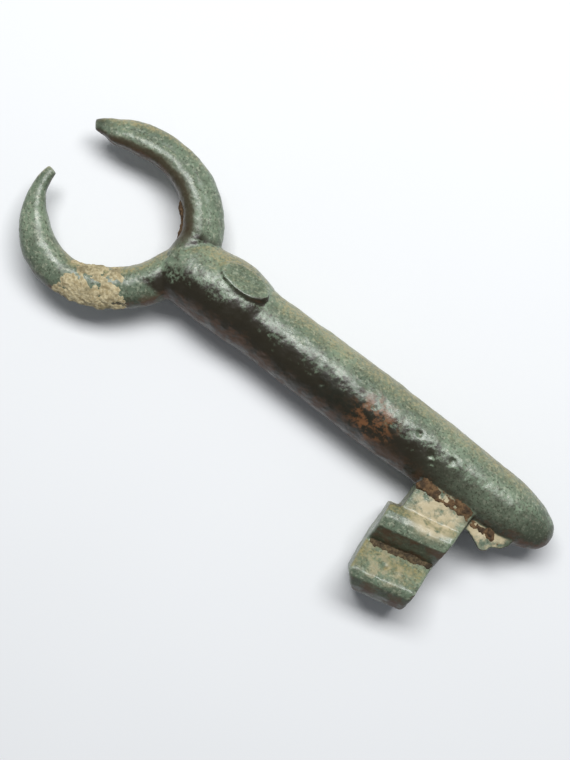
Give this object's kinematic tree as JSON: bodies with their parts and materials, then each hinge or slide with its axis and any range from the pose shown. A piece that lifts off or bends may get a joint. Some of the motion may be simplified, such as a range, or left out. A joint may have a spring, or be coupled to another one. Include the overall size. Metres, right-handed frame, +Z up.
{
  "type": "ring key",
  "caption": "Old cast-bronze key with a broken ring bow, a collar, a round stem and a ridged bit standing to one side.",
  "frame": {"origin": "centre of the key's bounding box, at its underside as it lies flat", "axes": "+X along the stem towards the nose, +Z up out of the key's plane, the bit points to -Y"},
  "size_m": [0.0878, 0.0352, 0.0111],
  "materials": {
    "bronze_patina": "satin",
    "tan_crust": "matte",
    "brown_earth": "matte"
  },
  "bodies": {
    "root": {"bow_upper_arm": "bronze_patina", "bow_lower_arm": "bronze_patina", "bow_neck": "bronze_patina", "collar": "bronze_patina", "shank": "bronze_patina", "shank_nose": "bronze_patina", "bit_web": "bronze_patina", "bit_upper_ridge": "bronze_patina", "bit_lower_ridge": "bronze_patina", "bit_flange": "bronze_patina", "bow_crust": "tan_crust", "groove_earth": "tan_crust", "crotch_earth": "brown_earth", "seam_earth": "brown_earth"}
  },
  "joints": []
}
